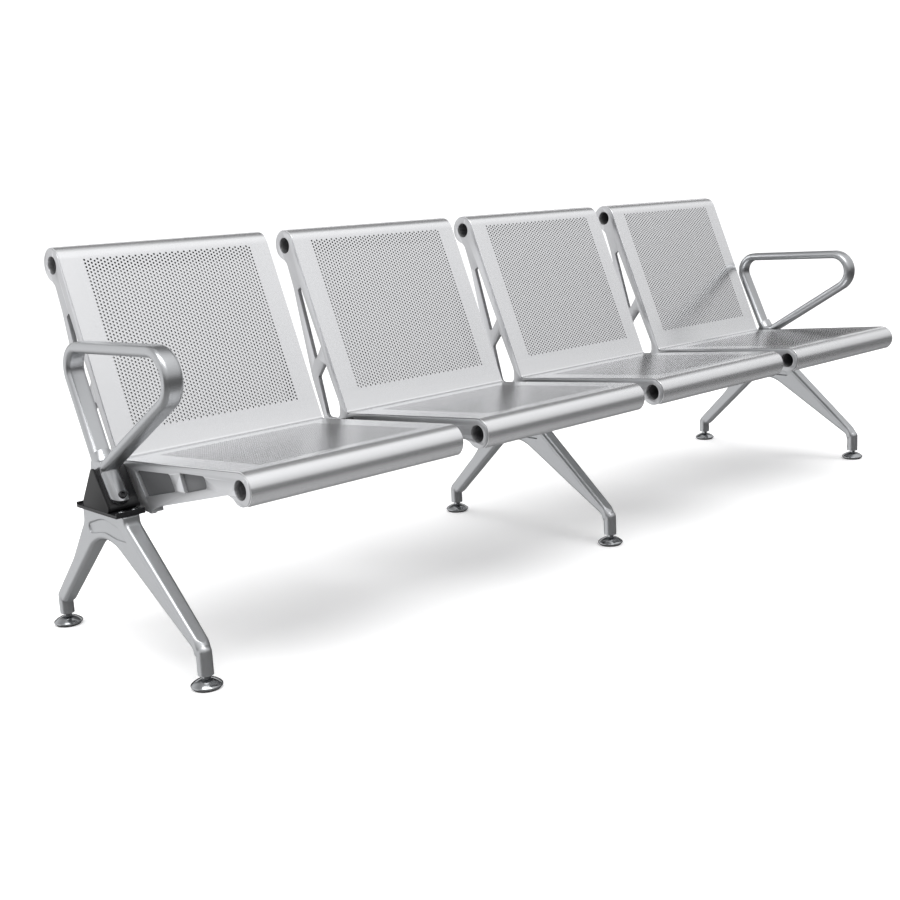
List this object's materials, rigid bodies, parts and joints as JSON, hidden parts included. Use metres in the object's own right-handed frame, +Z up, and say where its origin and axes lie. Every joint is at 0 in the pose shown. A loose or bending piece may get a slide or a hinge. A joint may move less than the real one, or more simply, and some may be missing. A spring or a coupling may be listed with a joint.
{
  "type": "beam seating",
  "caption": "Linked bench of perforated sheet-metal seats on a triangular beam, with cast side brackets, splayed cast legs on levelling feet and an open loop armrest at each end.",
  "frame": {"origin": "on the floor under the middle of the bench's bounding box, with the soles of the feet at z = 0", "axes": "+Z up; +X along the row of seats, from the left seat to the right seat as seen from the front; -Y towards the front, where people sit"},
  "size_m": [2.386, 0.718, 0.8],
  "materials": {
    "beam_steel": "satin black powder coat",
    "black_plastic": "satin moulded plastic",
    "black_steel": "satin black powder coat",
    "shell_powder_coat": "silver grey semi-gloss powder coat",
    "bracket_casting": "satin silver grey die casting",
    "tube_steel": "bright drawn tube",
    "zinc_steel": "bright zinc plating",
    "leg_casting": "satin polished die casting",
    "chrome_steel": "chrome plating",
    "glide_chrome": "chrome plating",
    "pad_rubber": "matt black moulding",
    "armrest_aluminium": "satin polished casting"
  },
  "bodies": {
    "bench": {"beam": "beam_steel", "beam_end_cap_left": "black_plastic", "beam_end_cap_right": "black_plastic", "seat_1_shell": "shell_powder_coat", "seat_1_bracket_left": "bracket_casting", "seat_1_bracket_right": "bracket_casting", "seat_1_roll_tubes": "tube_steel", "seat_1_shell_studs": "zinc_steel", "seat_1_clamp_plates": "bracket_casting", "seat_1_clamp_bolts": "zinc_steel", "seat_2_shell": "shell_powder_coat", "seat_2_bracket_left": "bracket_casting", "seat_2_bracket_right": "bracket_casting", "seat_2_roll_tubes": "tube_steel", "seat_2_shell_studs": "zinc_steel", "seat_2_clamp_plates": "bracket_casting", "seat_2_clamp_bolts": "zinc_steel", "seat_3_shell": "shell_powder_coat", "seat_3_bracket_left": "bracket_casting", "seat_3_bracket_right": "bracket_casting", "seat_3_roll_tubes": "tube_steel", "seat_3_shell_studs": "zinc_steel", "seat_3_clamp_plates": "bracket_casting", "seat_3_clamp_bolts": "zinc_steel", "seat_4_shell": "shell_powder_coat", "seat_4_bracket_left": "bracket_casting", "seat_4_bracket_right": "bracket_casting", "seat_4_roll_tubes": "tube_steel", "seat_4_shell_studs": "zinc_steel", "seat_4_clamp_plates": "bracket_casting", "seat_4_clamp_bolts": "zinc_steel", "leg_left": "leg_casting", "leg_plate_left": "black_steel", "leg_middle": "leg_casting", "leg_plate_middle": "black_steel", "leg_right": "leg_casting", "leg_plate_right": "black_steel", "armrest_left": "armrest_aluminium", "armrest_right": "armrest_aluminium", "leg_bolts": "chrome_steel", "armrest_screws": "chrome_steel"},
    "foot_left_front": {"foot_glide_left_front": "glide_chrome", "foot_pad_left_front": "pad_rubber"},
    "stud_left_front": {"foot_stud_left_front": "chrome_steel"},
    "foot_left_rear": {"foot_glide_left_rear": "glide_chrome", "foot_pad_left_rear": "pad_rubber"},
    "stud_left_rear": {"foot_stud_left_rear": "chrome_steel"},
    "foot_middle_front": {"foot_glide_middle_front": "glide_chrome", "foot_pad_middle_front": "pad_rubber"},
    "stud_middle_front": {"foot_stud_middle_front": "chrome_steel"},
    "foot_middle_rear": {"foot_glide_middle_rear": "glide_chrome", "foot_pad_middle_rear": "pad_rubber"},
    "stud_middle_rear": {"foot_stud_middle_rear": "chrome_steel"},
    "foot_right_front": {"foot_glide_right_front": "glide_chrome", "foot_pad_right_front": "pad_rubber"},
    "stud_right_front": {"foot_stud_right_front": "chrome_steel"},
    "foot_right_rear": {"foot_glide_right_rear": "glide_chrome", "foot_pad_right_rear": "pad_rubber"},
    "stud_right_rear": {"foot_stud_right_rear": "chrome_steel"}
  },
  "joints": [
    {"name": "foot_height_left_front", "type": "slide", "parent": "bench", "child": "foot_left_front", "axis": [0, 0, -1], "range_m": [0, 0.02]},
    {"name": "stud_turn_left_front", "type": "hinge", "parent": "foot_left_front", "child": "stud_left_front", "pos_m": [-1.162, -0.217, 0.03], "axis": [0, 0, -1], "range_deg": [0, 4800]},
    {"name": "foot_height_left_rear", "type": "slide", "parent": "bench", "child": "foot_left_rear", "axis": [0, 0, -1], "range_m": [0, 0.02]},
    {"name": "stud_turn_left_rear", "type": "hinge", "parent": "foot_left_rear", "child": "stud_left_rear", "pos_m": [-1.162, 0.3285, 0.03], "axis": [0, 0, -1], "range_deg": [0, 4800]},
    {"name": "foot_height_middle_front", "type": "slide", "parent": "bench", "child": "foot_middle_front", "axis": [0, 0, -1], "range_m": [0, 0.02]},
    {"name": "stud_turn_middle_front", "type": "hinge", "parent": "foot_middle_front", "child": "stud_middle_front", "pos_m": [0, -0.217, 0.03], "axis": [0, 0, -1], "range_deg": [0, 4800]},
    {"name": "foot_height_middle_rear", "type": "slide", "parent": "bench", "child": "foot_middle_rear", "axis": [0, 0, -1], "range_m": [0, 0.02]},
    {"name": "stud_turn_middle_rear", "type": "hinge", "parent": "foot_middle_rear", "child": "stud_middle_rear", "pos_m": [0, 0.3285, 0.03], "axis": [0, 0, -1], "range_deg": [0, 4800]},
    {"name": "foot_height_right_front", "type": "slide", "parent": "bench", "child": "foot_right_front", "axis": [0, 0, -1], "range_m": [0, 0.02]},
    {"name": "stud_turn_right_front", "type": "hinge", "parent": "foot_right_front", "child": "stud_right_front", "pos_m": [1.162, -0.217, 0.03], "axis": [0, 0, -1], "range_deg": [0, 4800]},
    {"name": "foot_height_right_rear", "type": "slide", "parent": "bench", "child": "foot_right_rear", "axis": [0, 0, -1], "range_m": [0, 0.02]},
    {"name": "stud_turn_right_rear", "type": "hinge", "parent": "foot_right_rear", "child": "stud_right_rear", "pos_m": [1.162, 0.3285, 0.03], "axis": [0, 0, -1], "range_deg": [0, 4800]}
  ],
  "couplings": [
    {"joint": "stud_turn_left_front", "follows": "foot_height_left_front", "rad_per_m": 4188.8},
    {"joint": "stud_turn_left_rear", "follows": "foot_height_left_rear", "rad_per_m": 4188.8},
    {"joint": "stud_turn_middle_front", "follows": "foot_height_middle_front", "rad_per_m": 4188.8},
    {"joint": "stud_turn_middle_rear", "follows": "foot_height_middle_rear", "rad_per_m": 4188.8},
    {"joint": "stud_turn_right_front", "follows": "foot_height_right_front", "rad_per_m": 4188.8},
    {"joint": "stud_turn_right_rear", "follows": "foot_height_right_rear", "rad_per_m": 4188.8}
  ]
}
